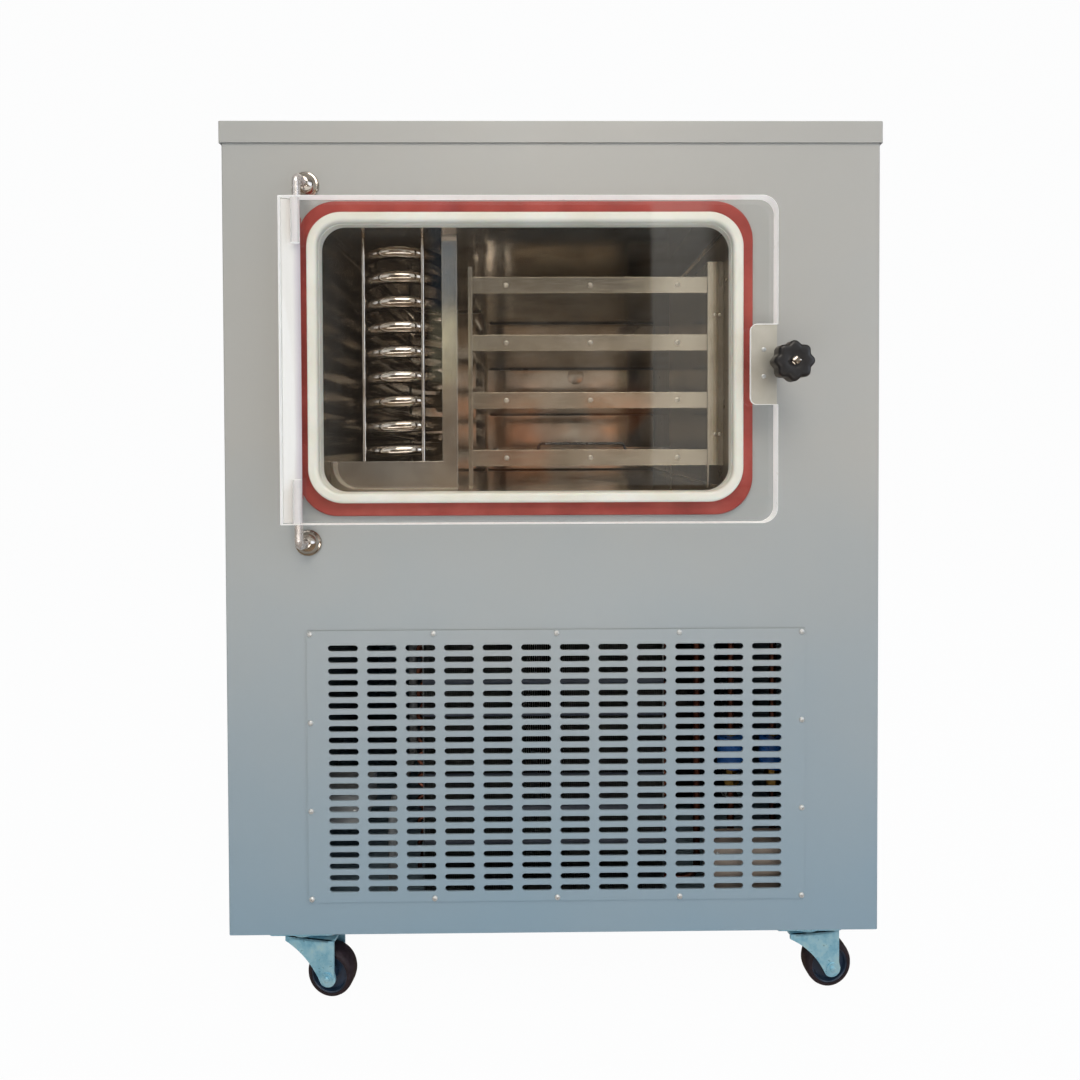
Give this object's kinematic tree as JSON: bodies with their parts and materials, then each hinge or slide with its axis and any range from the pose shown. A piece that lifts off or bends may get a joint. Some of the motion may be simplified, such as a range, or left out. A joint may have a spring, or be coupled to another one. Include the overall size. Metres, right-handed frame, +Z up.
{
  "type": "freeze dryer",
  "caption": "Cabinet freeze dryer with a clear swing door over a stainless chamber with shelves and a cold-trap coil, a slotted vent panel below, on swivel casters.",
  "frame": {"origin": "centre of the overall box in plan, on the floor", "axes": "+X to the right seen from the front, +Y towards the rear, +Z up"},
  "size_m": [0.88, 0.85, 1.183],
  "materials": {
    "painted_steel": "satin light grey powder coat",
    "galvanised_steel": "bright galvanised sheet",
    "polished_stainless": "mirror-polished stainless sheet and tube",
    "brushed_stainless": "brushed stainless",
    "zinc_plate": "blue zinc plate",
    "copper": "drawn copper tube",
    "clear_acrylic": "clear cast acrylic with polished edges",
    "cream_silicone": "cream silicone rubber",
    "red_silicone": "red silicone rubber",
    "white_strip": "white edge strip",
    "black_plastic": "black moulded plastic",
    "beige_plastic": "beige moulded box",
    "grey_plastic": "grey plastic",
    "blue_plastic": "blue encapsulated coil",
    "black_enamel": "black enamel",
    "foam": "rigid insulating foam",
    "tyre": "dark rubber tread"
  },
  "bodies": {
    "cabinet": {"base_pan": "painted_steel", "left_side_panel": "painted_steel", "right_side_panel": "painted_steel", "rear_panel": "painted_steel", "front_panel": "painted_steel", "top_cover": "painted_steel", "vent_panel": "painted_steel", "chamber_deck": "galvanised_steel", "chamber_shell": "polished_stainless", "chamber_back": "polished_stainless", "insulation_jacket": "foam", "mouth_gasket": "cream_silicone", "neck_seal": "red_silicone", "latch_boss": "brushed_stainless", "upper_hinge_post": "polished_stainless", "lower_hinge_post": "polished_stainless", "trap_coil": "polished_stainless", "coil_rod_left": "brushed_stainless", "coil_rod_right": "brushed_stainless", "trap_screen": "polished_stainless", "shelf_1": "polished_stainless", "shelf_2": "polished_stainless", "shelf_3": "polished_stainless", "shelf_4": "polished_stainless", "shelf_post_front": "brushed_stainless", "shelf_post_rear": "brushed_stainless", "shelf_side_plate": "brushed_stainless", "tray": "polished_stainless", "tray_handle": "black_enamel", "condenser_core": "galvanised_steel", "fan_shroud": "galvanised_steel", "fan_motor": "black_enamel", "compressor": "black_enamel", "solenoid_line_left": "blue_plastic", "solenoid_line_right": "blue_plastic", "discharge_pipe": "copper", "drain_pipe": "grey_plastic", "terminal_box": "beige_plastic", "relay_box": "grey_plastic", "vacuum_port": "brushed_stainless", "power_inlet": "black_plastic", "front_left_caster_plate": "zinc_plate", "front_right_caster_plate": "zinc_plate", "rear_left_caster_plate": "zinc_plate", "rear_right_caster_plate": "zinc_plate"},
    "door": {"door_plate": "clear_acrylic", "door_edge_strip": "white_strip", "latch_plate": "brushed_stainless"},
    "clamp_slide": {"clamp_washer": "brushed_stainless"},
    "clamp": {"star_knob": "black_plastic", "clamp_bolt": "polished_stainless"},
    "fan": {"fan_rotor": "black_plastic"},
    "front_left_fork": {"front_left_caster_fork": "zinc_plate"},
    "front_left_wheel": {"front_left_caster_wheel": "tyre"},
    "front_right_fork": {"front_right_caster_fork": "zinc_plate"},
    "front_right_wheel": {"front_right_caster_wheel": "tyre"},
    "rear_left_fork": {"rear_left_caster_fork": "zinc_plate"},
    "rear_left_wheel": {"rear_left_caster_wheel": "tyre"},
    "rear_right_fork": {"rear_right_caster_fork": "zinc_plate"},
    "rear_right_wheel": {"rear_right_caster_wheel": "tyre"}
  },
  "joints": [
    {"name": "door_hinge", "type": "hinge", "parent": "cabinet", "child": "door", "pos_m": [-0.3257, -0.372, 0.8625], "axis": [0, 0, -1], "range_deg": [0, 105]},
    {"name": "clamp_travel", "type": "slide", "parent": "door", "child": "clamp_slide", "axis": [0, -1, 0], "range_m": [0, 0.01]},
    {"name": "clamp_turn", "type": "hinge", "parent": "clamp_slide", "child": "clamp", "pos_m": [0.291, -0.4, 0.857], "axis": [0, -1, 0], "range_deg": [0, 1801]},
    {"name": "fan_spin", "type": "hinge", "parent": "cabinet", "child": "fan", "pos_m": [-0.014, -0.164, 0.287], "axis": [0, 1, 0], "continuous": true},
    {"name": "front_left_swivel", "type": "hinge", "parent": "cabinet", "child": "front_left_fork", "pos_m": [-0.341, -0.312, 0.09], "axis": [0, 0, 1], "continuous": true},
    {"name": "front_left_roll", "type": "hinge", "parent": "front_left_fork", "child": "front_left_wheel", "pos_m": [-0.30634, -0.31687, 0.0325], "axis": [0.1392, 0.9903, 0], "continuous": true},
    {"name": "front_right_swivel", "type": "hinge", "parent": "cabinet", "child": "front_right_fork", "pos_m": [0.346, -0.312, 0.09], "axis": [0, 0, 1], "continuous": true},
    {"name": "front_right_roll", "type": "hinge", "parent": "front_right_fork", "child": "front_right_wheel", "pos_m": [0.38087, -0.30895, 0.0325], "axis": [-0.0872, 0.9962, 0], "continuous": true},
    {"name": "rear_left_swivel", "type": "hinge", "parent": "cabinet", "child": "rear_left_fork", "pos_m": [-0.341, 0.36, 0.09], "axis": [0, 0, 1], "continuous": true},
    {"name": "rear_left_roll", "type": "hinge", "parent": "rear_left_fork", "child": "rear_left_wheel", "pos_m": [-0.34405, 0.32513, 0.0325], "axis": [0.9962, -0.0872, 0], "continuous": true},
    {"name": "rear_right_swivel", "type": "hinge", "parent": "cabinet", "child": "rear_right_fork", "pos_m": [0.346, 0.36, 0.09], "axis": [0, 0, 1], "continuous": true},
    {"name": "rear_right_roll", "type": "hinge", "parent": "rear_right_fork", "child": "rear_right_wheel", "pos_m": [0.35208, 0.32553, 0.0325], "axis": [0.9848, 0.1736, 0], "continuous": true}
  ],
  "couplings": [
    {"joint": "clamp_turn", "follows": "clamp_travel", "rad_per_m": 3141.6}
  ]
}
